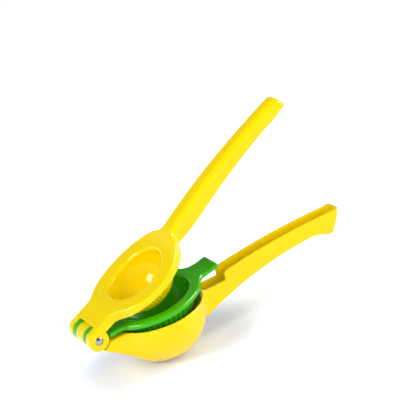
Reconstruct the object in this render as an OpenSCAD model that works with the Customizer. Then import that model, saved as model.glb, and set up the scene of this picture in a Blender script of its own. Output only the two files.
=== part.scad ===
// Hinged citrus press: two cast arms and a cup insert that turn on one pin.
// Frame: the origin is the middle of the flat that the bowl stands on, +X runs to the
// handle tips and +Z is up. Each casting is drawn closed, about the hinge axis, with
// the hinge axis along Y and the bowl's rim plane level, and is then turned open.

/* [Layout] */
// Hinge axis to the middle of the cups
cup_reach = 52; // [50:0.5:58]
// Hinge axis to the handle tips
tip_reach = 210; // [190:0.5:230]
// How far the upper arm stands open, in degrees
arm_open = 23.6; // [20:0.1:60]
// How far the cup insert stands open, in degrees
insert_open = 5; // [0:0.1:15]
// Gap between two flanges when they are closed
leaf_gap = 0.4; // [0.3:0.05:0.8]

/* [Hinge] */
// Width over the outer ears
hinge_w = 37.3; // [34:0.1:40]
// Thickness of each outer ear
ear_t = 6.65; // [5:0.05:8]
// Thickness of each knuckle of the insert
knuckle_t = 5.7; // [4:0.1:7]
// Side play between neighbouring knuckles
side_play = 0.3; // [0.2:0.05:0.6]
// Outer radius of the ears
ear_r = 7.65; // [7:0.05:8]
// Outer radius of the inner knuckles
knuckle_r = 7.4; // [6.6:0.1:7.7]
// Room left round a turning knuckle or ear
relief = 0.7; // [0.5:0.1:1]
// Diameter of the pin
pin_d = 5.8; // [5:0.1:7]
// Running clearance of the pin, on the radius
pin_play = 0.05; // [0.02:0.01:0.08]
// How far the domed pin ends stand out
pin_proud = 0.5; // [0.2:0.1:1]

/* [Bowl] */
// Outer radius of the bowl
bowl_r = 35.9; // [35:0.1:38]
// Depth of the bowl's centre below the hinge axis
bowl_drop = 7.75; // [6:0.05:9]
// Wall of the bowl
bowl_wall = 2.6; // [2:0.1:3]
// Floor of the bowl above the flat
bowl_floor = 3; // [2.5:0.1:5]
// Radius of the flat that the bowl stands on
foot_r = 12.5; // [11:0.1:15]
// Width of the rounded lip
lip_w = 2.8; // [2.6:0.1:4]
// Height of the lip
lip_h = 4; // [3:0.1:6]
// Slope of the hinge lug's underside, in degrees
lug_slope = 35.5; // [30:0.5:40]
// Blunt end of the lug under the hinge, beyond the hinge axis
lug_start = 1.2; // [0.5:0.1:3]

/* [Insert] */
// Thickness of the insert's flange
flange_t = 3.6; // [3:0.1:4.5]
// How far the insert's flange stands back from the bowl's lip
flange_inset = 0.8; // [0:0.1:1.5]
// Depth of the flange's top below the hinge axis
flange_drop = 0.1; // [0:0.05:0.5]
// Gap between the bowl's lip and the insert's cup
cup_gap = 3.4; // [2:0.1:4]
// Height of the cup's centre above the hinge axis
cup_rise = 3; // [2:0.1:4]
// Wall of the cup
cup_wall = 2.4; // [1.8:0.1:2.8]
// Width of the insert's hinge plate
insert_plate_w = 32.4; // [26:0.1:34]
// Length of the thumb tab beyond the flange
tab_len = 15.5; // [12:0.1:16]
// Width of the thumb tab
tab_w = 21.2; // [16:0.1:24]
// Length of the turned-up end of the tab
tab_end = 8; // [4:0.1:9]
// Thickness of the turned-up end
tab_t = 2.2; // [1.8:0.1:2.4]
// Slope of the turned-up end, in degrees
tab_slope = 7.5; // [0:0.5:8]
// Rounding of the tab's outer corners
tab_corner = 1.5; // [0.5:0.1:3]
// Concave corner between the tab and the flange
tab_fillet = 4; // [2:0.1:5]

/* [Upper arm] */
// How far the upper flange stands back from the bowl's lip
cap_inset = 0.1; // [0:0.1:1]
// Thickness of the upper flange at its middle
cap_t = 4.6; // [3.5:0.1:5.5]
// Radius of the flange's hollow top, bent about Y
saddle_r = 145; // [130:1:180]
// Gap between the insert's cup and the pressing dome, between its ribs
dome_gap = 1.4; // [1.3:0.1:4]
// Height of the dome's centre above the hinge axis
dome_rise = 6.6; // [6:0.1:8]
// Wall of the dome
dome_wall = 4.5; // [3:0.1:6]
// Height of the hollow's centre above the hinge axis
hollow_rise = 5.5; // [4.5:0.1:7]
// Top of the hinge plate above the hinge axis
plate_top = 8.2; // [8:0.1:9]
// Underside of the hinge plate above the hinge axis
plate_under = 1.1; // [0.8:0.1:2]
// Start of the plate beyond the hinge axis
plate_start = 4.3; // [2:0.1:6]

/* [Handles] */
// Width of both handles
handle_w = 15.6; // [13:0.1:18]
// Wall of both hollow handles
handle_wall = 2.2; // [1.8:0.1:3]
// Corner radius of the handle tips, seen from above
tip_r = 3.5; // [2:0.1:5]
// Highest point of the upper handle above the hinge axis
upper_crest = 23.3; // [22:0.1:26]
// Radius that the upper handle's top is bowed to
upper_bow = 470; // [420:5:550]
// Distance of both handles' highest points from their tips
crest_back = 4.5; // [3:0.1:6]
// Highest point of the upper handle's underside above the hinge axis
under_crest = 13.3; // [12:0.1:14.5]
// Radius that the underside is bowed to
under_bow = 445; // [400:5:500]
// Rounding of the upper handle's top edges
upper_round = 5.5; // [3:0.1:6]
// Top of the upper handle's root above the hinge axis
root_top = 13.4; // [12.5:0.1:15]
// Rounding of the root where it rises from the flange
root_round = 8; // [6:0.1:9]
// Concave corner between the upper handle and its flange
root_fillet = 4; // [2:0.1:5]
// Highest point of the lower handle above the hinge axis
lower_crest = 6.2; // [5:0.1:7.5]
// Radius that the lower handle's top is bowed to
lower_bow = 720; // [650:5:900]
// Highest point of the lower handle's belly, below the hinge axis
belly_drop = 6; // [5:0.1:8]
// Radius that the belly is bowed to
belly_bow = 250; // [230:1:300]
// Distance of the belly's highest point from the tip
belly_back = 25.5; // [20:0.1:30]
// Depth of the tab's recess below the hinge axis
recess_drop = 6.4; // [6:0.1:8]
// Room between the tab's end and the step beyond it
recess_gap = 2.6; // [2:0.1:5]
// Depth of the heel under the lower handle's tip, below the hinge axis
heel_drop = 10.4; // [9.5:0.1:12]

/* [Ribs and drains] */
// Number of ribs on the insert's cup
cup_ribs = 44; // [30:1:50]
// Number of ribs on the dome
dome_ribs = 50; // [30:1:56]
// Width of a rib
rib_w = 1.4; // [1:0.1:1.8]
// Height of a rib
rib_h = 0.7; // [0.4:0.1:0.8]
// Number of drain slots in each cup
drains = 8; // [5:1:10]
// Width of a drain slot
drain_w = 2.4; // [2:0.1:3]
// Length of a drain slot
drain_l = 4.5; // [3:0.1:5]
// Distance of the slots' inner ends from the middle
drain_in = 5; // [4:0.1:6]

/* [Hidden] */
$fn = 96;

// Heights above the hinge axis
insert_top = -flange_drop;
insert_under = insert_top - flange_t;
rim = insert_under - leaf_gap;
cap_under = insert_top + leaf_gap;
foot = -bowl_drop - sqrt(pow(bowl_r, 2) - pow(foot_r, 2));
saddle_z = cap_under + cap_t + saddle_r;

// Half widths along the hinge axis, from the outside in
ear_in = hinge_w / 2 - ear_t;
knuckle_out = ear_in - side_play;
knuckle_in = knuckle_out - knuckle_t;
centre_out = knuckle_in - side_play;

// Radii, from the bowl's lip inwards
lip_r = bowl_r + lip_w / 2;
cap_r = lip_r - cap_inset;
flange_r = lip_r - flange_inset;
cup_r = lip_r - lip_w - cup_gap;
dome_r = cup_r - cup_wall - dome_gap;
hollow_r = dome_r - dome_wall;
ear_relief = ear_r + relief;
knuckle_relief = knuckle_r + relief;

// The underside of the upper handle still rises at the tip and would level out this far past it
under_past = 2;

// Stations along X
tab_tip = cup_reach + flange_r + tab_len;
tab_bend = tab_tip - tab_end;
tab_lift = tab_end * tan(tab_slope);
step_x = tab_tip + recess_gap;
crest_x = tip_reach - crest_back;
belly_x = tip_reach - belly_back;
insert_plate_x = ear_relief + relief;
plate_end = cup_reach - sqrt(pow(cap_r, 2) - pow(hinge_w / 2, 2));
root_x = cup_reach + cap_r;
under_x = tip_reach + under_past;

// The ribs stop where the ball is this share of its full width
rib_stop = 0.42;

// The lug's underside lies this far inside the ears' relief at the hinge axis
lug_edge = 0.6;

// The heel under the lower handle's tip, measured back from the tip
heel_back = 14;
heel_start = 22;
heel_rise = 2.5;
face_back = 0.8;
face_slope = 30;

// How far the roots of the upper handle and of the tab are sunk into their flanges
root_sink = 0.3;

// The bar of the upper handle is turned about its bow from this far past the crest, in degrees
bar_lead = 10;
bar_turn = 30;

// Reach of the large cutting shapes, and the overlap of pieces that are joined
cut = 200;
lap = 1;

// ---------------------------------------------------------------- helpers

// Lays a drawing of the X-Z plane out along Y, from -half to +half
module slab(half) {
    rotate([90, 0, 0]) linear_extrude(2 * half, center = true) children();
}

// The same from y1 to y2 and mirrored to the other side
module slab_pair(y1, y2) {
    for (side = [-1, 1])
        translate([0, side * (y1 + y2) / 2, 0]) slab((y2 - y1) / 2) children();
}

// A bar along the hinge axis
module barrel(r, half) {
    rotate([90, 0, 0]) cylinder(r = r, h = 2 * half, center = true);
}

// Places a casting that is drawn closed about the hinge axis
module hinged(angle) {
    translate([-cup_reach, 0, -foot]) rotate([0, -angle, 0]) children();
}

// Everything that lies above a height
module above(z) {
    translate([-cut, -cut, z]) cube([3 * cut, 2 * cut, cut]);
}

// Everything that lies below a height
module below(z) {
    translate([-cut, -cut, z - cut]) cube([3 * cut, 2 * cut, cut]);
}

// Upright ribs on a ball of radius r
module ribs(count, r) {
    for (i = [0:count - 1])
        rotate([0, 0, (i + 0.5) * 360 / count]) rotate([90, 0, 0]) translate([0, 0, -rib_w / 2])
            intersection() {
                difference() {
                    cylinder(r = r + rib_h, h = rib_w);
                    translate([0, 0, -lap]) cylinder(r = r - lap, h = rib_w + 2 * lap);
                }
                translate([r * rib_stop, -r, -lap]) cube([r, r, rib_w + 2 * lap]);
            }
}

// Ring of slots that let the juice out
module drain_holes(z, depth) {
    for (i = [0:drains - 1])
        rotate([0, 0, (i + 0.5) * 360 / drains]) translate([0, 0, z - depth / 2]) {
            translate([drain_in, -drain_w / 2, 0]) cube([drain_l, drain_w, depth]);
            for (end = [drain_in, drain_in + drain_l])
                translate([end, 0, 0]) cylinder(d = drain_w, h = depth);
        }
}

// Outline of a handle seen from above, with rounded tip corners
module handle_plan(start, inset) {
    half = handle_w / 2 - inset;
    corner = max(tip_r - inset, 0.5);
    end = tip_reach - inset;
    translate([start, -half]) square([end - corner - start, 2 * half]);
    translate([start, corner - half]) square([end - start, 2 * (half - corner)]);
    for (side = [-1, 1])
        translate([end - corner, side * (half - corner)]) circle(corner);
}

module over_plan(start, inset) {
    translate([0, 0, -cut / 2]) linear_extrude(cut) handle_plan(start, inset);
}

// ---------------------------------------------------------------- lower arm

module bowl_solid() {
    translate([cup_reach, 0, 0]) {
        difference() {
            translate([0, 0, -bowl_drop]) sphere(bowl_r);
            above(rim - lip_w / 2);
            below(foot);
        }
        rotate_extrude() {
            translate([lip_r - lip_w, rim - lip_h]) square([lip_w, lip_h - lip_w / 2]);
            translate([bowl_r, rim - lip_w / 2]) circle(lip_w / 2);
        }
    }
}

module bowl_hollow() {
    translate([cup_reach, 0, 0]) {
        intersection() {
            translate([0, 0, -bowl_drop]) sphere(bowl_r - bowl_wall);
            above(foot + bowl_floor);
            below(rim - lip_w / 2);
        }
        translate([0, 0, rim - lip_w]) cylinder(r = lip_r - lip_w, h = lip_w * 2);
        drain_holes(foot, 3 * bowl_floor);
    }
}

module lug() {
    difference() {
        slab(hinge_w / 2) difference() {
            translate([lug_start, rim - cup_reach]) square([cup_reach - bowl_r / 2, cup_reach]);
            translate([0, lug_edge - ear_relief]) rotate(-lug_slope)
                translate([-cut / 2, -cut]) square([cut, cut]);
        }
        slab_pair(centre_out, hinge_w) circle(ear_relief);
    }
    barrel(knuckle_r, centre_out);
}

module lower_side() {
    difference() {
        intersection() {
            translate([crest_x, lower_crest - lower_bow]) circle(lower_bow, $fn = 720);
            translate([cup_reach, -cut / 2]) square([tip_reach - cup_reach, cut]);
        }
        translate([belly_x, -belly_drop - belly_bow]) circle(belly_bow, $fn = 360);
        translate([cup_reach, -cut]) square([cup_reach, cut + foot]);
    }
}

module heel_side() {
    polygon([
        [tip_reach - heel_start, -belly_drop],
        [tip_reach - (heel_start + heel_back) / 2, -(2 * belly_drop + heel_drop) / 3],
        [tip_reach - heel_back, -heel_drop],
        [tip_reach + lap, -heel_drop + heel_rise],
        [tip_reach + lap, 0],
        [tip_reach - heel_start, 0],
    ]);
}

// Everything beyond the slanted end face of the lower handle
module beyond_face(inset) {
    translate([tip_reach - face_back - inset, lower_crest]) rotate(-face_slope)
        translate([0, -cut]) square([cut, 2 * cut]);
}

module lower_handle() {
    difference() {
        intersection() {
            slab(handle_w) union() {
                lower_side();
                heel_side();
            }
            over_plan(cup_reach, 0);
        }
        slab(handle_w) beyond_face(0);
        // hollow of the trough
        intersection() {
            slab(handle_w) difference() {
                translate([cup_reach, -cut / 2]) square([cut, cut]);
                translate([belly_x, -belly_drop - belly_bow]) circle(belly_bow + handle_wall, $fn = 360);
                beyond_face(handle_wall);
            }
            over_plan(cup_reach, handle_wall);
        }
        // recess under the thumb tab
        slab(handle_w) translate([cup_reach, -recess_drop]) square([step_x - cup_reach, cut]);
    }
}

module lower_arm() {
    color("gold") hinged(0) difference() {
        union() {
            bowl_solid();
            lug();
            lower_handle();
        }
        bowl_hollow();
        barrel(pin_d / 2 + pin_play, hinge_w);
    }
}

// ---------------------------------------------------------------- lime insert

module tab_plan() {
    half = tab_w / 2;
    root = cup_reach + sqrt(pow(flange_r, 2) - pow(half + tab_fillet, 2)) - root_sink;
    difference() {
        union() {
            translate([cup_reach, -half - tab_fillet])
                square([root + tab_fillet - cup_reach, tab_w + 2 * tab_fillet]);
            translate([cup_reach, -half]) square([tab_tip - tab_corner - cup_reach, tab_w]);
            translate([cup_reach, tab_corner - half])
                square([tab_tip - cup_reach, tab_w - 2 * tab_corner]);
            for (side = [-1, 1])
                translate([tab_tip - tab_corner, side * (half - tab_corner)]) circle(tab_corner);
        }
        for (side = [-1, 1])
            translate([root + tab_fillet, side * (half + tab_fillet)]) circle(tab_fillet);
    }
}

// The level root of the tab thins out towards its turned-up end
module insert_tab() {
    intersection() {
        slab(tab_w) polygon([
            [cup_reach, insert_under],
            [cup_reach + flange_r + lap, insert_under],
            [tab_bend, insert_top - tab_t],
            [tab_tip, insert_top + tab_lift - tab_t],
            [tab_tip, insert_top + tab_lift],
            [tab_bend, insert_top],
            [cup_reach, insert_top],
        ]);
        translate([0, 0, -cut / 2]) linear_extrude(cut) tab_plan();
    }
}

module insert_plate() {
    translate([insert_plate_x, -insert_plate_w / 2, insert_under])
        cube([cup_reach - flange_r / 2 - insert_plate_x, insert_plate_w, flange_t]);
    slab_pair(knuckle_in, knuckle_out) {
        circle(knuckle_r);
        translate([0, insert_under]) square([insert_plate_x + lap, flange_t]);
    }
}

module lime_insert() {
    color("limegreen") hinged(insert_open) difference() {
        union() {
            translate([cup_reach, 0, insert_under]) cylinder(r = flange_r, h = flange_t);
            insert_plate();
            insert_tab();
            translate([cup_reach, 0, cup_rise]) difference() {
                union() {
                    sphere(cup_r);
                    ribs(cup_ribs, cup_r);
                }
                above(insert_under + flange_t / 2 - cup_rise);
            }
        }
        translate([cup_reach, 0, cup_rise]) sphere(cup_r - cup_wall);
        translate([cup_reach, 0, 0]) drain_holes(cup_rise - cup_r, 5 * cup_wall);
        barrel(pin_d / 2 + pin_play, hinge_w);
    }
}

// ---------------------------------------------------------------- upper arm

module cap_flange() {
    difference() {
        translate([cup_reach, 0, cap_under]) cylinder(r = cap_r, h = upper_crest);
        translate([cup_reach, 0, saddle_z]) rotate([90, 0, 0])
            cylinder(r = saddle_r, h = 4 * cap_r, center = true, $fn = 360);
        translate([plate_end - cut, -cut / 2, plate_top]) cube([cut, cut, cut]);
    }
}

module cap_plate() {
    difference() {
        slab(hinge_w / 2) translate([0, plate_under]) square([plate_end + lap, plate_top - plate_under]);
        slab(ear_in) {
            circle(knuckle_relief);
            translate([-lap, 0]) square([plate_start + lap, cut]);
        }
    }
    slab_pair(ear_in, hinge_w / 2) circle(ear_r);
}

module dome() {
    translate([cup_reach, 0, dome_rise]) difference() {
        union() {
            sphere(dome_r);
            ribs(dome_ribs, dome_r);
        }
        above(cap_under + cap_t / 2 - dome_rise);
    }
}

module upper_side(r) {
    translate([crest_x, upper_crest - upper_bow]) circle(r, $fn = 720);
}

// Section of the upper handle, drawn with the bow's radius along X
module upper_section() {
    half = handle_w / 2;
    deep = 2 * upper_crest;
    translate([upper_bow - deep, -half]) square([deep - upper_round, handle_w]);
    translate([upper_bow - deep, upper_round - half]) square([deep, handle_w - 2 * upper_round]);
    for (side = [-1, 1])
        translate([upper_bow - upper_round, side * (half - upper_round)]) circle(upper_round);
}

module upper_bar() {
    half = handle_w / 2;
    inner = tip_r * 0.92;
    difference() {
        translate([crest_x, 0, upper_crest - upper_bow]) rotate([90, 0, 0])
            rotate([0, 0, 90 - bar_lead]) rotate_extrude(angle = bar_turn, $fn = 720) upper_section();
        slab(handle_w) translate([under_x, under_crest - under_bow]) circle(under_bow, $fn = 720);
        translate([-cut, -cut / 2, -cut / 2]) cube([cut + root_x + lap / 2, cut, cut]);
        translate([tip_reach, -cut / 2, -cut / 2]) cube([cut, cut, cut]);
        for (side = [-1, 1])
            translate([tip_reach - inner, side * (half - inner), -cut / 2]) linear_extrude(cut)
                difference() {
                    translate([0, side > 0 ? 0 : -2 * tip_r]) square([2 * tip_r, 2 * tip_r]);
                    circle(tip_r);
                }
    }
}

module upper_trough() {
    intersection() {
        slab(handle_w) upper_side(upper_bow - handle_wall);
        over_plan(step_x, handle_wall);
    }
}

module upper_root() {
    half = handle_w / 2;
    rise_x = root_x - root_sink + root_round;
    inner_x = root_x - root_round;
    intersection() {
        slab(handle_w) union() {
            translate([rise_x, 0]) square([step_x - rise_x, root_top]);
            translate([rise_x, root_top - upper_round])
                square([step_x + root_round - rise_x, upper_round]);
            translate([rise_x, root_top - root_round]) circle(root_round);
            translate([inner_x, cap_under]) square([rise_x - inner_x, root_top - root_round - cap_under]);
        }
        rotate([90, 0, 90]) linear_extrude(cut) union() {
            translate([-half, -root_top]) square([handle_w, 2 * root_top - upper_round]);
            translate([upper_round - half, -root_top]) square([handle_w - 2 * upper_round, 2 * root_top]);
            for (side = [-1, 1])
                translate([side * (half - upper_round), root_top - upper_round]) circle(upper_round);
        }
    }
}

// Room under the root for the insert's thumb tab
module over_tab() {
    tip = tab_tip + leaf_gap;
    polygon([
        [root_x - root_round / 2, -cut],
        [root_x - root_round / 2, cap_under],
        [tab_bend, cap_under],
        [tip, cap_under + tab_lift],
        [step_x + root_round, cap_under + tab_lift],
        [step_x + root_round, -cut],
    ]);
}

module root_corners() {
    half = handle_w / 2;
    start = cup_reach + sqrt(pow(cap_r, 2) - pow(half + root_fillet, 2)) - root_sink;
    for (side = [-1, 1])
        translate([0, 0, cap_under]) linear_extrude(plate_top - cap_under) difference() {
            translate([start - lap, side * (half + root_fillet / 2) - root_fillet / 2])
                square([root_fillet + lap, root_fillet]);
            translate([start + root_fillet, side * (half + root_fillet)]) circle(root_fillet);
        }
}

module upper_arm() {
    color("gold") hinged(arm_open) difference() {
        union() {
            cap_flange();
            cap_plate();
            dome();
            upper_root();
            root_corners();
            upper_bar();
        }
        translate([cup_reach, 0, hollow_rise]) sphere(hollow_r);
        translate([cup_reach, 0, hollow_rise]) cylinder(r = hollow_r, h = cap_t * 2);
        slab(handle_w) over_tab();
        upper_trough();
        barrel(pin_d / 2, hinge_w);
    }
}

// ---------------------------------------------------------------- hinge pin

// Half of the pin's section: a straight shank and one domed end
module pin_section() {
    // the circle whose cap makes the domed end
    end_r = (pow(pin_d / 2, 2) + pow(pin_proud, 2)) / (2 * pin_proud);
    square([pin_d / 2, hinge_w / 2]);
    intersection() {
        translate([0, hinge_w / 2 - pin_proud]) square([pin_d / 2, 2 * pin_proud]);
        translate([0, hinge_w / 2 + pin_proud - end_r]) circle(end_r);
    }
}

module hinge_pin() {
    color("silver") hinged(0)
        for (turn = [90, -90])
            rotate([turn, 0, 0]) rotate_extrude() pin_section();
}

lower_arm();
lime_insert();
upper_arm();
hinge_pin();
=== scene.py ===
import math

import bpy
import numpy as np
from mathutils import Matrix, Vector


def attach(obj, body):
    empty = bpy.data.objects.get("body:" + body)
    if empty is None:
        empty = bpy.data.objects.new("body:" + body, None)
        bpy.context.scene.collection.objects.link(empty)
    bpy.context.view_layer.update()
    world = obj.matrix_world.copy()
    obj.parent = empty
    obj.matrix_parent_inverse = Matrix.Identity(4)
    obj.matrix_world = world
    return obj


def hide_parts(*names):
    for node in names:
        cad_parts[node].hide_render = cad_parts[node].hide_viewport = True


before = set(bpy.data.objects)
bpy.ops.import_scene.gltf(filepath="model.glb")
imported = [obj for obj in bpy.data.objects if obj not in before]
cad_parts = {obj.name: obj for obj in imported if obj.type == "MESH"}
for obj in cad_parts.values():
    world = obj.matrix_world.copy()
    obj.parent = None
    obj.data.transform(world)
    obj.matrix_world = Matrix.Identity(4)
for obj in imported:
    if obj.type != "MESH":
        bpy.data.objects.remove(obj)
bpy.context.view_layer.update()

# Sizes are in mm. Each casting is described closed, about the hinge axis: X runs from
# the hinge to the handle tips, Y along the pin and Z up. It is then turned open.
# An ARC is the x and z of its centre and its radius. A LINE is the x and z of a point on
# it and its slope. The last number of join, meet and cut is the radius of that edge.

# Layout
CUP = 52.0
TIP = 210.0
ARM_OPEN = 23.6
INSERT_OPEN = 5.0
FOOT = -41.403

# Hinge
HINGE_HALF = 18.65
EAR_IN = 12.0
EAR_R = 7.64
KNUCKLE_R = 7.4
KNUCKLE_MID = 8.85
KNUCKLE_HALF = 2.85
CENTRE_OUT = 5.7
EAR_RELIEF = 8.35
KNUCKLE_RELIEF = 8.1
PLATE_END = 40.0
BORE_R = 2.95
PIN_R = 2.9
PIN_PROUD = 1.0
PIN_DOME = 4.4
PIN_CROWN = 0.97
PIN_RINGS = 12
PIN_EDGE = (0.25, 0.6)

# Heights of the three leaves
RIM = -4.1
INSERT_UNDER = -3.7
INSERT_TOP = -0.1
CAP_UNDER = 0.15

# Bowl
BOWL_R = 35.6
BOWL_Z = -7.75
BOWL_WALL = 2.6
BOWL_FLOOR = -38.4
SHELL_TOP = RIM - 0.8
FOOT_FROM = 23.0
FOOT_LEAN = math.asin(FOOT_FROM / BOWL_R)
FOOT_ROUND = (BOWL_Z - BOWL_R * math.cos(FOOT_LEAN) - FOOT) / (1 - math.cos(FOOT_LEAN))
FOOT_FLAT = FOOT_FROM - FOOT_ROUND * math.sin(FOOT_LEAN)
LIP_W = 2.8
LIP_LEAN = math.radians(74.5)
LIP_FROM = BOWL_Z - BOWL_R * math.cos(LIP_LEAN)
LUG_LINE = (0.0, -7.75, -0.713)
LUG_START = 1.2
LUG_END = 33.0

# Insert
FLANGE_R = 36.5
CUP_R = 31.1
CUP_Z = 3.0
CUP_WALL = 2.4
CUP_TOP = -1.9
INSERT_HALF = 16.2
INSERT_START = 9.05
ARMS_END = 20.0
TAB_HALF = 10.6
TAB_START = 60.0
TAB_BEND = 96.0
TAB_TIP = 104.0
TAB_RISE = math.tan(math.radians(7.5))
TAB_UNDER_LINE = (88.5, INSERT_UNDER, 0.09)

# Upper arm
CAP_R = 37.28
SADDLE_R = 145.0
SADDLE_Z = 4.9
DOME_R = 27.3
DOME_Z = 6.6
DOME_TOP = 2.6
HOLLOW_R = 22.6
HOLLOW_Z = 5.5
PLATE_UNDER = 1.1
PLATE_LINE = (0.0, EAR_R, 0.0275)
SLOT_END = 4.3
HINGE_FREE = 9.5

# Drain slots, and the heights in the open cups up to which they cut
DRAINS = 8
DRAIN_IN = 5.0
DRAIN_OUT = 9.5
DRAIN_HALF = 1.2
BOWL_DRAIN_TOP = -30.0
CUP_DRAIN_TOP = -20.0

# Ribs: how far they stand out, their depth, the share of a pitch up to the foot of their
# flank, the flank's width, and where on the ball and over what length they fade out
CUP_RIBS = 44
DOME_RIBS = 50
RIB_PROUD = 0.8
RIB = 1.25
RIB_SHARE = 0.47
RIB_FLANK = 0.9
RIB_STOP = 0.42
RIB_FADE = 2.0

# Both handles
HANDLE_HALF = 7.8
HANDLE_START = 64.0
WALL = 2.2
STEP_X = 106.6

# Lower handle: its end wall rises a little between two stations
LOWER_TOP_ARC = (186.0, -594.65, 600.0)
END_RISE = 0.9
END_FROM = 203.0
END_TO = 209.0
END_X = 209.2
END_Z = 6.2
END_NORMAL = (0.866, 0.5)
RECESS_Z = -6.4
BELLY_ARC = (184.5, -273.75, 267.0)
TROUGH_ARC = (184.5, -273.75, 269.2)
HEEL_FRONT_LINE = (196.0, -11.3, -0.62)
HEEL_BACK_LINE = (196.0, -11.3, 0.167)
BOWL_CLEAR = 41.0

# Upper handle: the crest goes over from the flange to the bow between two stations, and
# the rounding of its edges grows in two steps of (height, from, to)
UPPER_TIP = 212.75
UPPER_TIP_Z = 13.0
UPPER_TIP_NORMAL = (0.97, 0.24)
UPPER_TOP_ARC = (201.0, -609.2, 631.0)
CREST_FROM = 76.0
CREST_TO = 94.0
CREST_EDGE = 1.6
CREST_EDGE_ROOT = (2.5, 80.0, 95.0)
CREST_EDGE_REST = (1.3, 120.0, 190.0)
UNDER_ARC = (218.0, -551.96, 564.0)
UNDER_TIP_LINE = (192.0, 11.3, -0.075)
OVER_TAB_LINE = (TAB_BEND, CAP_UNDER, 0.11)
UNDER_FROM = 60.0

# Finest spacing of the meshes
STEP = 0.63

# Space that each casting is looked for in
LOWER_SPACE = (-12, -41, -45), (214, 41, 10)
INSERT_SPACE = (-11, -39, -32), (108, 39, 12)
UPPER_SPACE = (-11, -40, -25), (214, 40, 27)


# ---------------------------------------------------------------- distance fields

def join(a, b, r):
    """Union of two solids with a concave corner of radius r."""
    u = np.maximum(r - a, 0.0)
    v = np.maximum(r - b, 0.0)
    return np.maximum(r, np.minimum(a, b)) - np.sqrt(u * u + v * v)


def meet(a, b, r):
    """Intersection of two solids with a rounded edge of radius r."""
    u = np.maximum(r + a, 0.0)
    v = np.maximum(r + b, 0.0)
    return np.minimum(-r, np.maximum(a, b)) + np.sqrt(u * u + v * v)


def cut(a, b, r):
    """a without b, with a rounded edge of radius r."""
    return meet(a, -b, r)


def over_line(x, z, x0, z0, slope):
    """Height over a sloping line through (x0, z0), measured square to it."""
    return (z - z0 - slope * (x - x0)) / math.hypot(1.0, slope)


def over_arc(x, z, x0, z0, r):
    """Distance outside the circle of radius r about (x0, z0)."""
    return np.hypot(x - x0, z - z0) - r


def ramp(x, start, end):
    """Eases from 0 at start to 1 at end."""
    return eased((x - start) / (end - start))


def eased(t):
    t = np.clip(t, 0.0, 1.0)
    return t * t * (3.0 - 2.0 * t)


def slots(x, y):
    """Plan of the ring of drain slots."""
    part = 2 * math.pi / DRAINS
    angle = np.arctan2(y, x - CUP)
    angle = angle - part * np.floor(angle / part) - part / 2
    rho = np.hypot(x - CUP, y)
    along = rho * np.cos(angle)
    across = rho * np.sin(angle)
    return np.hypot(along - np.clip(along, DRAIN_IN, DRAIN_OUT), across) - DRAIN_HALF


def ribbed(x, y, rho, count, r):
    """Radius of a ball with rounded upright ribs that fade out towards its pole."""
    part = 2 * math.pi / count
    angle = np.arctan2(y, x - CUP)
    phase = angle / part - np.floor(angle / part) - 0.5
    off = np.abs(phase) * part * rho
    rise = eased((RIB_SHARE * part * r - off) / RIB_FLANK)
    fade = np.clip((rho - RIB_STOP * r) / RIB_FADE, 0.0, 1.0)
    return r + (RIB_PROUD - RIB) * fade + RIB * rise * fade


def lower_arm(x, y, z):
    rho = np.hypot(x - CUP, y)
    side = np.abs(y)
    ball = np.hypot(rho, z - BOWL_Z)
    radial = np.hypot(x, z)

    # bowl
    reach = rho - FOOT_FLAT
    depth = FOOT + FOOT_ROUND - z
    foot = np.hypot(np.maximum(reach, 0.0), depth) - FOOT_ROUND
    shell = np.where(reach < math.tan(FOOT_LEAN) * depth, foot, ball - BOWL_R)
    shell = meet(shell, z - SHELL_TOP, 0.5)
    lip = meet(rho - BOWL_R - LIP_W / 2, z - RIM, 3.6)
    flare = -over_line(rho, z, BOWL_R * math.sin(LIP_LEAN), LIP_FROM, math.tan(LIP_LEAN))
    lip = meet(lip, flare, 4.0)
    shell = np.minimum(shell, np.maximum(lip, LIP_FROM - z))

    # lug under the hinge
    lug = meet(z - RIM, -over_line(x, z, *LUG_LINE), 1.0)
    lug = meet(lug, LUG_START - x, 0.8)
    lug = meet(lug, side - HINGE_HALF, 1.0)
    lug = np.maximum(lug, x - LUG_END)
    lug = cut(lug, np.maximum(radial - EAR_RELIEF, CENTRE_OUT - side), 0.4)
    knuckle = meet(radial - KNUCKLE_R, side - CENTRE_OUT, 0.6)
    lug = join(lug, knuckle, 0.8)

    # handle: an open channel with a heel and a recess for the insert's tab
    top = over_arc(x, z, *LOWER_TOP_ARC) - END_RISE * ramp(x, END_FROM, END_TO)
    recess = meet(RECESS_Z - z, x - STEP_X, 1.2)
    top = cut(top, recess, 2.6)
    belly = -over_arc(x, z, *BELLY_ARC)
    heel = meet(-over_line(x, z, *HEEL_FRONT_LINE), -over_line(x, z, *HEEL_BACK_LINE), 1.5)
    under = join(belly, heel, 4.0)
    face = (x - END_X) * END_NORMAL[0] - (z - END_Z) * END_NORMAL[1]
    profile = meet(meet(top, face, 1.2), under, 1.0)
    plan = meet(side - HANDLE_HALF, x - TIP, 5.5)
    bar = meet(profile, plan, 0.9)
    room = meet(side - HANDLE_HALF + WALL, np.maximum(x - TIP, face) + WALL, 3.4)
    bar = cut(bar, meet(room, -over_arc(x, z, *TROUGH_ARC), 1.4), 0.7)
    bar = np.maximum(bar, HANDLE_START - x)

    # the handle and the lug stay under the rim near the bowl
    body = join(shell, lug, 3.5)
    body = join(body, bar, 3.0)
    body = np.maximum(body, np.where(rho < BOWL_CLEAR, z - RIM, -1.0))

    mouth = np.maximum(rho - BOWL_R + LIP_W / 2, RIM - LIP_W - z)
    hollow = meet(ball - BOWL_R + BOWL_WALL, BOWL_FLOOR - z, 3.0)
    body = cut(body, join(hollow, mouth, 0.8), 1.1)
    body = cut(body, np.maximum(slots(x, y), z - BOWL_DRAIN_TOP), 0.4)
    return cut(body, radial - BORE_R, 0.3)


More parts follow.
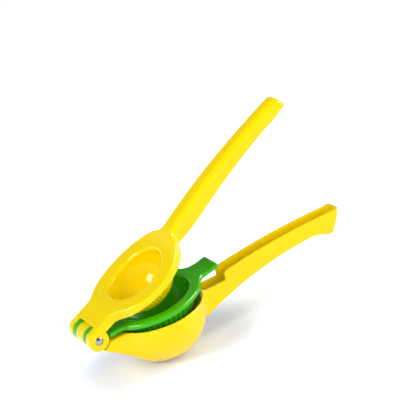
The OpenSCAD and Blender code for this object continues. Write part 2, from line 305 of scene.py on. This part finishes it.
def lime_insert(x, y, z):
    rho = np.hypot(x - CUP, y)
    side = np.abs(y)
    ball = np.hypot(rho, z - CUP_Z)
    radial = np.hypot(x, z)
    across_knuckle = np.abs(side - KNUCKLE_MID) - KNUCKLE_HALF

    # plan of the flange, its hinge plate, the two knuckle arms and the thumb tab
    plate = np.maximum(side - INSERT_HALF, np.maximum(INSERT_START - x, x - PLATE_END))
    arms = np.maximum(across_knuckle, np.maximum(-x, x - ARMS_END))
    tab = meet(side - TAB_HALF, x - TAB_TIP, 1.6)
    tab = np.maximum(tab, TAB_START - x)
    plan = join(rho - FLANGE_R, plate, 2.0)
    plan = join(plan, arms, 1.0)
    plan = join(plan, tab, 4.0)

    top = np.minimum(z - INSERT_TOP, over_line(x, z, TAB_BEND, INSERT_TOP, TAB_RISE))
    under = np.maximum(INSERT_UNDER - z, -over_line(x, z, *TAB_UNDER_LINE))
    body = meet(meet(plan, top, 1.5), under, 0.6)
    body = join(body, meet(radial - KNUCKLE_R, across_knuckle, 0.6), 1.2)

    # cup
    cup = np.maximum(ball - ribbed(x, y, rho, CUP_RIBS, CUP_R), z - CUP_TOP)
    body = join(body, cup, 1.0)
    body = cut(body, ball - CUP_R + CUP_WALL, 1.3)
    body = cut(body, np.maximum(slots(x, y), z - CUP_DRAIN_TOP), 0.4)
    return cut(body, radial - BORE_R, 0.3)


def upper_arm(x, y, z):
    rho = np.hypot(x - CUP, y)
    side = np.abs(y)
    radial = np.hypot(x, z)

    # plan of the flange, its hinge plate and the handle
    plate = meet(side - HINGE_HALF, PLATE_UNDER - z, 0.8)
    plate = np.maximum(plate, np.maximum(-x, x - PLATE_END))
    plan = join(rho - CAP_R, plate, 2.5)
    plan = join(plan, np.maximum(side - HANDLE_HALF, HANDLE_START - x), 3.2)

    # top: hollow over the flange, straight over the plate and bowed over the handle
    saddle = SADDLE_R - np.hypot(x - CUP, z - SADDLE_Z - SADDLE_R)
    level = over_line(x, z, *PLATE_LINE)
    bow = over_arc(x, z, *UPPER_TOP_ARC)
    part = ramp(x, CREST_FROM, CREST_TO)
    flange_top = np.where(x < CUP, meet(saddle, level, 0.5), saddle)
    crest = part * bow + (1.0 - part) * flange_top
    edge = CREST_EDGE
    for height, start, end in (CREST_EDGE_ROOT, CREST_EDGE_REST):
        edge = edge + height * ramp(x, start, end)
    body = meet(plan, crest, edge)
    tip = UPPER_TIP_NORMAL[0] * (x - UPPER_TIP) + UPPER_TIP_NORMAL[1] * (z - UPPER_TIP_Z)
    body = meet(body, tip, 3.0)

    # ears and the slot between them
    ears = meet(radial - EAR_R, side - HINGE_HALF, 1.0)
    body = np.minimum(body, ears)
    slot = join(radial - KNUCKLE_RELIEF, np.maximum(x - SLOT_END, -z), 0.5)
    body = cut(body, meet(slot, side - EAR_IN, 0.3), 0.5)

    # underside: bowed under the handle, flat over the insert
    under = -over_arc(x, z, *UNDER_ARC)
    under = np.minimum(under, -over_line(x, z, *UNDER_TIP_LINE))
    under = np.maximum(under, -over_line(x, z, *OVER_TAB_LINE))
    under = np.maximum(under, CAP_UNDER - z)
    near_hinge = np.where(radial < HINGE_FREE, -1.0, CAP_UNDER - z)
    under = np.where(x < UNDER_FROM, near_hinge, under)
    body = meet(body, under, 0.8)
    room = meet(side - HANDLE_HALF + WALL, tip + WALL, 1.6)
    room = meet(meet(room, bow + WALL, 3.2), STEP_X - x, 2.0)
    body = cut(body, room, 0.7)

    # pressing dome and its hollow
    dome = np.hypot(rho, z - DOME_Z) - ribbed(x, y, rho, DOME_RIBS, DOME_R)
    body = join(body, np.maximum(dome, z - DOME_TOP), 0.9)
    hollow = np.hypot(rho, z - HOLLOW_Z) - HOLLOW_R
    hollow = np.minimum(hollow, np.maximum(rho - HOLLOW_R, HOLLOW_Z - z))
    body = cut(body, hollow, 2.4)
    return cut(body, radial - PIN_R, 0.3)


# ---------------------------------------------------------------- meshes

def gradient(field, p):
    """Direction in which the field grows, at points of shape (n, 3)."""
    e = 0.02
    x, y, z = p.T
    return np.stack([
        field(x + e, y, z) - field(x - e, y, z),
        field(x, y + e, z) - field(x, y - e, z),
        field(x, y, z + e) - field(x, y, z - e),
    ], 1) / (2 * e)


def settle(field, p, passes):
    """Moves points onto the surface."""
    flattest = 0.2
    for _ in range(passes):
        g = gradient(field, p)
        d = field(*p.T)
        move = d / np.maximum((g * g).sum(1), flattest)
        p = p - np.clip(move, -STEP, STEP)[:, None] * g
    return p


def near_surface(field, low, cells, step, block):
    """Marks the fine cells that can hold a piece of the surface."""
    margin = 1.5
    count = cells // block
    axes = [low[i] + (np.arange(count[i]) + 0.5) * block * step for i in range(3)]
    x, y, z = np.meshgrid(*axes, indexing="ij")
    d = np.abs(field(x, y, z))
    keep = d < 0.5 * math.sqrt(3) * block * step * margin
    for axis in range(3):
        keep = keep.repeat(block, axis)
    return keep


def surface(field, low, high, step):
    """Vertices, quads and normals of the surface where the field is zero."""
    block = 4
    low = np.array(low, float)
    cells = np.ceil((np.array(high) - low) / (step * block)).astype(int) * block
    keep = near_surface(field, low, cells, step, block)
    corners = [(i, j, k) for i in (0, 1) for j in (0, 1) for k in (0, 1)]
    nodes = np.zeros(cells + 1, bool)
    for i, j, k in corners:
        nodes[i:i + cells[0], j:j + cells[1], k:k + cells[2]] |= keep
    value = np.ones(cells + 1)
    at = np.argwhere(nodes)
    x, y, z = (low + at * step).T
    value[nodes] = field(x, y, z)
    inside = value < 0

    filled = np.zeros(cells, int)
    for i, j, k in corners:
        filled += inside[i:i + cells[0], j:j + cells[1], k:k + cells[2]]
    mixed = keep & (filled > 0) & (filled < 8)
    cell = np.argwhere(mixed)
    number = np.full(cells, -1)
    number[mixed] = np.arange(len(cell))

    # a vertex sits at the middle of the points where the surface crosses its cell's edges
    total = np.zeros((len(cell), 3))
    hits = np.zeros(len(cell))
    for a in corners:
        for axis in range(3):
            if a[axis]:
                continue
            b = list(a)
            b[axis] = 1
            va = value[tuple((cell + a).T)]
            vb = value[tuple((cell + b).T)]
            crossed = (va < 0) != (vb < 0)
            part = np.where(crossed, va / np.where(crossed, va - vb, 1.0), 0.0)
            point = np.tile(np.array(a, float), (len(cell), 1))
            point[:, axis] = part
            total += point * crossed[:, None]
            hits += crossed
    verts = low + (cell + total / hits[:, None]) * step

    # a quad joins the four cells around each edge that the surface crosses
    quads = []
    for axis in range(3):
        one, two = (axis + 1) % 3, (axis + 2) % 3
        start = [slice(None)] * 3
        end = [slice(None)] * 3
        start[axis] = slice(0, -1)
        end[axis] = slice(1, None)
        first = inside[tuple(start)]
        crossing = first != inside[tuple(end)]
        edge = np.argwhere(crossing)
        edge = edge[(edge[:, one] > 0) & (edge[:, two] > 0)]
        edge = edge[(edge[:, one] < cells[one]) & (edge[:, two] < cells[two])]
        ring = []
        for back_one, back_two in ((1, 1), (0, 1), (0, 0), (1, 0)):
            c = edge.copy()
            c[:, one] -= back_one
            c[:, two] -= back_two
            ring.append(number[tuple(c.T)])
        ring = np.stack(ring, 1)
        outward = first[tuple(edge.T)]
        ring[~outward] = ring[~outward][:, ::-1]
        quads.append(ring[(ring >= 0).all(1)])
    quads = np.concatenate(quads)

    verts = settle(field, verts, 2)
    for _ in range(2):
        verts = settle(field, relaxed(verts, quads), 2)
    normals = gradient(field, verts)
    normals /= np.linalg.norm(normals, axis=1)[:, None]
    return verts, quads, normals


def relaxed(verts, quads):
    """Each vertex moves half way to the middle of its neighbours."""
    a = quads.ravel()
    b = np.roll(quads, -1, 1).ravel()
    count = np.bincount(a, minlength=len(verts)) + np.bincount(b, minlength=len(verts))
    result = verts.copy()
    for axis in range(3):
        total = np.bincount(a, verts[b, axis], len(verts))
        total += np.bincount(b, verts[a, axis], len(verts))
        result[:, axis] = 0.5 * verts[:, axis] + 0.5 * total / count
    return result


def turned(points, angle):
    """Points or normals of a closed casting, turned open about the hinge axis."""
    a = math.radians(angle)
    turn = np.array([
        [math.cos(a), 0.0, math.sin(a)],
        [0.0, 1.0, 0.0],
        [-math.sin(a), 0.0, math.cos(a)],
    ])
    return points @ turn


def placed(points, angle):
    """Points of a closed casting, turned open and in the part's frame, in metres."""
    return (turned(points, angle) - [CUP, 0.0, FOOT]) / 1000


def added(name, mesh):
    obj = bpy.data.objects.new(name, mesh)
    bpy.context.scene.collection.objects.link(obj)
    return obj


def casting(name, field, space, angle):
    """One casting: the surface of its field, with the field's own normals."""
    verts, quads, normals = surface(field, *space, STEP)
    verts = placed(verts, angle)
    normals = turned(normals, angle)
    mesh = bpy.data.meshes.new(name)
    mesh.vertices.add(len(verts))
    mesh.vertices.foreach_set("co", verts.astype(np.float32).ravel())
    mesh.loops.add(quads.size)
    mesh.loops.foreach_set("vertex_index", quads.astype(np.int32).ravel())
    mesh.polygons.add(len(quads))
    mesh.polygons.foreach_set("loop_start", np.arange(0, quads.size, 4, dtype=np.int32))
    mesh.polygons.foreach_set("use_smooth", np.ones(len(quads), bool))
    mesh.update(calc_edges=True)
    mesh.normals_split_custom_set_from_vertices(normals.tolist())
    return added(name, mesh)


def lathed_pin(name, segments=64):
    """The pin: a shank with chamfered, domed ends."""
    half = HINGE_HALF
    profile = [(0.0, half + PIN_PROUD)]
    for i in range(1, PIN_RINGS + 1):
        r = PIN_R * PIN_CROWN * i / PIN_RINGS
        profile.append((r, half + PIN_PROUD - PIN_DOME + math.sqrt(PIN_DOME ** 2 - r * r)))
    profile += [(PIN_R, half - back) for back in PIN_EDGE]
    profile += [(r, -h) for r, h in reversed(profile)]
    verts = []
    for r, h in profile[1:-1]:
        for s in range(segments):
            a = 2 * math.pi * s / segments
            verts.append((r * math.cos(a), h, r * math.sin(a)))
    rows = len(profile) - 2
    faces = []
    for row in range(rows - 1):
        for s in range(segments):
            t = (s + 1) % segments
            faces.append((row * segments + s, row * segments + t,
                          (row + 1) * segments + t, (row + 1) * segments + s))
    verts += [(0.0, profile[0][1], 0.0), (0.0, -profile[0][1], 0.0)]
    top, bottom = len(verts) - 2, len(verts) - 1
    last = (rows - 1) * segments
    for s in range(segments):
        t = (s + 1) % segments
        faces.append((top, t, s))
        faces.append((bottom, last + s, last + t))
    mesh = bpy.data.meshes.new(name)
    mesh.from_pydata([tuple(p) for p in placed(np.array(verts), 0.0)], [], faces)
    mesh.polygons.foreach_set("use_smooth", np.ones(len(faces), bool))
    mesh.update()
    return added(name, mesh)


# ---------------------------------------------------------------- materials

def new_material(name):
    material = bpy.data.materials.new(name)
    material.use_nodes = True
    return material, material.node_tree.nodes, material.node_tree.links


def noise(nodes, links, scale, detail):
    """Noise in object coordinates, so that it stays on a piece that moves."""
    place = nodes.new("ShaderNodeTexCoord")
    cloud = nodes.new("ShaderNodeTexNoise")
    cloud.inputs["Scale"].default_value = scale
    cloud.inputs["Detail"].default_value = detail
    links.new(place.outputs["Object"], cloud.inputs["Vector"])
    return cloud.outputs["Fac"]


def two_tones(nodes, links, source, low, high, ends):
    """A colour that goes from low to high as the source passes between two ends."""
    tones = nodes.new("ShaderNodeValToRGB")
    for element, position, colour in zip(tones.color_ramp.elements, ends, (low, high)):
        element.position = position
        element.color = (*colour, 1)
    links.new(source, tones.inputs["Fac"])
    return tones.outputs["Color"]


def enamel(name, colour, deep, sheen, roughness):
    """Glossy stoved enamel: a slightly uneven colour and a faint orange-peel skin."""
    material, nodes, links = new_material(name)
    shader = nodes["Principled BSDF"]
    cloud = noise(nodes, links, 38.0, 3.0)
    tones = two_tones(nodes, links, cloud, deep, colour, (0.25, 0.7))
    links.new(tones, shader.inputs["Base Color"])

    spread = nodes.new("ShaderNodeMapRange")
    spread.inputs["From Min"].default_value = 0.3
    spread.inputs["From Max"].default_value = 0.7
    spread.inputs["To Min"].default_value = roughness - 0.03
    spread.inputs["To Max"].default_value = roughness + 0.03
    links.new(cloud, spread.inputs["Value"])
    links.new(spread.outputs["Result"], shader.inputs["Roughness"])

    bump = nodes.new("ShaderNodeBump")
    bump.inputs["Strength"].default_value = 0.06
    bump.inputs["Distance"].default_value = 0.0004
    links.new(noise(nodes, links, 420.0, 1.5), bump.inputs["Height"])
    links.new(bump.outputs["Normal"], shader.inputs["Normal"])
    shader.inputs["IOR"].default_value = 1.4
    shader.inputs["Specular Tint"].default_value = (*sheen, 1)
    return material


def steel(name, dark, light):
    """Bright turned steel with a few rubbed spots."""
    material, nodes, links = new_material(name)
    shader = nodes["Principled BSDF"]
    cloud = noise(nodes, links, 300.0, 4.0)
    tones = two_tones(nodes, links, cloud, dark, light, (0.0, 1.0))
    links.new(tones, shader.inputs["Base Color"])

    spread = nodes.new("ShaderNodeMapRange")
    spread.inputs["To Min"].default_value = 0.12
    spread.inputs["To Max"].default_value = 0.26
    links.new(cloud, spread.inputs["Value"])
    links.new(spread.outputs["Result"], shader.inputs["Roughness"])
    shader.inputs["Metallic"].default_value = 1.0
    return material


def seen_directly(nodes, links):
    """1 for camera, glossy and transmission rays, 0 for those that only carry light."""
    path = nodes.new("ShaderNodeLightPath")
    seen = path.outputs["Is Camera Ray"]
    for kind in ("Is Glossy Ray", "Is Transmission Ray"):
        either = nodes.new("ShaderNodeMath")
        either.operation = "MAXIMUM"
        links.new(seen, either.inputs[0])
        links.new(path.outputs[kind], either.inputs[1])
        seen = either.outputs["Value"]
    return seen


def two_colours(nodes, links, factor, first, second):
    mix = nodes.new("ShaderNodeMix")
    mix.data_type = "RGBA"
    links.new(factor, mix.inputs["Factor"])
    mix.inputs["A"].default_value = (*first, 1)
    mix.inputs["B"].default_value = (*second, 1)
    return mix.outputs["Result"]


def paper(name, bounce, shown, painted_foot_shade, glow):
    """Floor: one colour for the light it throws back; where it is seen, another, faintly blue so
    that the yellow light in its shade looks grey; and a glow that is weak around the foot of the
    bowl and full further out. The weak glow there is painted shade that deepens the cast shadow
    at the foot."""
    # Distances in metres from the foot of the bowl over which the painted shade fades out
    painted_shade_from, painted_shade_to = 0.045, 0.092
    material, nodes, links = new_material(name)
    shader = nodes["Principled BSDF"]
    shader.inputs["Roughness"].default_value = 1.0
    shader.inputs["Specular IOR Level"].default_value = 0.0
    seen = seen_directly(nodes, links)
    links.new(two_colours(nodes, links, seen, bounce, shown), shader.inputs["Base Color"])

    # Painted shade: between those two distances the glow rises from a dim, blue-tinted value to
    # full, so the floor is darker around the foot of the bowl and its shade there is greyed
    place = nodes.new("ShaderNodeTexCoord")
    away = nodes.new("ShaderNodeVectorMath")
    away.operation = "LENGTH"
    links.new(place.outputs["Object"], away.inputs[0])
    fade = nodes.new("ShaderNodeMapRange")
    fade.interpolation_type = "SMOOTHSTEP"
    fade.inputs["From Min"].default_value = painted_shade_from
    fade.inputs["From Max"].default_value = painted_shade_to
    links.new(away.outputs["Value"], fade.inputs["Value"])
    light = two_colours(nodes, links, fade.outputs["Result"], painted_foot_shade, glow)
    links.new(light, shader.inputs["Emission Color"])
    links.new(seen, shader.inputs["Emission Strength"])
    return material


# ---------------------------------------------------------------- camera

def photo_camera(place, azimuth, elevation, roll, lens):
    """The photograph's view, with its angles in degrees."""
    data = bpy.data.cameras.new("camera")
    data.sensor_width = 36.0
    data.lens = lens
    data.clip_end = 20.0
    camera = bpy.data.objects.new("camera", data)
    bpy.context.scene.collection.objects.link(camera)
    bpy.context.scene.camera = camera
    azimuth, elevation, roll = map(math.radians, (azimuth, elevation, roll))
    back = Vector((
        math.sin(azimuth) * math.cos(elevation),
        -math.cos(azimuth) * math.cos(elevation),
        math.sin(elevation),
    ))
    turn = (-back).to_track_quat("-Z", "Y").to_matrix() @ Matrix.Rotation(roll, 3, "Z")
    camera.matrix_world = Matrix.Translation(place) @ turn.to_4x4()


# ---------------------------------------------------------------- light and floor

def lamp(name, direction, distance, width, height, power):
    """A soft box that looks at the cups from a direction. Sizes in metres, power in watts."""
    cups = Vector((0.0, 0.0, 0.05))
    data = bpy.data.lights.new(name, "AREA")
    data.shape = "RECTANGLE"
    data.size = width
    data.size_y = height
    data.energy = power
    light = bpy.data.objects.new(name, data)
    bpy.context.scene.collection.objects.link(light)
    away = Vector(direction).normalized()
    turn = away.to_track_quat("Z", "Y").to_matrix().to_4x4()
    light.matrix_world = Matrix.Translation(cups + away * distance) @ turn
    return light


def surroundings(diffuse, horizon, ceiling, from_z, to_z):
    """White air: even for the light it gives, dimmer overhead where it is seen."""
    world = bpy.context.scene.world or bpy.data.worlds.new("studio")
    bpy.context.scene.world = world
    world.use_nodes = True
    nodes, links = world.node_tree.nodes, world.node_tree.links
    shade = nodes["Background"]
    shade.inputs["Color"].default_value = (1.0, 1.0, 1.0, 1)
    place = nodes.new("ShaderNodeTexCoord")
    split = nodes.new("ShaderNodeSeparateXYZ")
    links.new(place.outputs["Generated"], split.inputs["Vector"])
    overhead = nodes.new("ShaderNodeMapRange")
    overhead.inputs["From Min"].default_value = from_z
    overhead.inputs["From Max"].default_value = to_z
    overhead.inputs["To Min"].default_value = horizon
    overhead.inputs["To Max"].default_value = ceiling
    links.new(split.outputs["Z"], overhead.inputs["Value"])
    level = nodes.new("ShaderNodeMapRange")
    level.inputs["To Min"].default_value = diffuse
    links.new(overhead.outputs["Result"], level.inputs["To Max"])
    links.new(seen_directly(nodes, links), level.inputs["Value"])
    links.new(level.outputs["Result"], shade.inputs["Strength"])


def lamps():
    """Two boxes light the press, a wall and a top box fill without showing in the gloss,
    and two glints show in the gloss only."""
    left, right = (-0.76, -0.04, 0.63), (0.86, -0.18, 0.46)
    lamp("left_box", left, distance=2.0, width=0.75, height=0.8, power=22.5)
    lamp("right_box", right, distance=2.2, width=0.8, height=1.4, power=13.5)
    wall = lamp("front_wall", (0.2, -0.9, 0.34), distance=1.7, width=3.8, height=0.9, power=24.5)
    top = lamp("top_box", (0.1, -0.2, 0.97), distance=2.0, width=0.8, height=0.6, power=3.5)
    for fill in (wall, top):
        fill.visible_glossy = False
    first = lamp("left_glint", left, distance=1.95, width=0.7, height=0.75, power=20.0)
    second = lamp("right_glint", (0.845, -0.33, 0.42), distance=2.0, width=1.6, height=0.5,
                  power=90.0)
    for glint in (first, second):
        glint.visible_diffuse = False


def ground(half, material):
    mesh = bpy.data.meshes.new("floor")
    mesh.from_pydata([(-half, -half, 0), (half, -half, 0), (half, half, 0), (-half, half, 0)],
                     [], [(0, 1, 2, 3)])
    floor = added("floor", mesh)
    floor.data.materials.append(material)


# ---------------------------------------------------------------- the press

bpy.context.scene.view_settings.view_transform = "Standard"
photo_camera((-0.33566, -1.00742, 0.53267), -21.286, 21.964, -17.212, lens=148.63)
surroundings(diffuse=0.3, horizon=1.0, ceiling=0.15, from_z=0.17, to_z=0.42)
lamps()
# The floor's glow is dim and blue around the bowl's foot: painted shade that deepens the shadow
# there and greys the yellow light thrown on it
ground(6.0, paper("floor", bounce=(0.9, 0.9, 0.9), shown=(0.9, 0.94, 1.0),
                  painted_foot_shade=(0.0, 0.03, 0.15), glow=(0.45, 0.47, 0.5)))

yellow = enamel("yellow_enamel", colour=(0.94, 0.70, 0.0), deep=(0.92, 0.68, 0.0),
                sheen=(1.0, 0.95, 0.55), roughness=0.13)
green = enamel("green_enamel", colour=(0.05, 0.46, 0.004), deep=(0.047, 0.445, 0.003),
               sheen=(0.8, 1.0, 0.7), roughness=0.13)
bright = steel("pin_steel", dark=(0.28, 0.27, 0.28), light=(0.45, 0.44, 0.45))

# Each piece with its body, the node that it replaces, its slot and its material
pieces = [
    (casting("lower_arm_casting", lower_arm, LOWER_SPACE, 0.0),
     "lower_arm", "lower_arm", "yellow_enamel", yellow),
    (casting("lime_insert_casting", lime_insert, INSERT_SPACE, INSERT_OPEN),
     "lime_insert", "lime_insert", "green_enamel", green),
    (casting("upper_arm_casting", upper_arm, UPPER_SPACE, ARM_OPEN),
     "upper_arm", "upper_arm", "yellow_enamel", yellow),
    (lathed_pin("turned_pin"), "upper_arm", "hinge_pin", "pin_steel", bright),
]
for piece, body, node, slot, material in pieces:
    piece.data.materials.append(material)
    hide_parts(node)
    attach(piece, body)
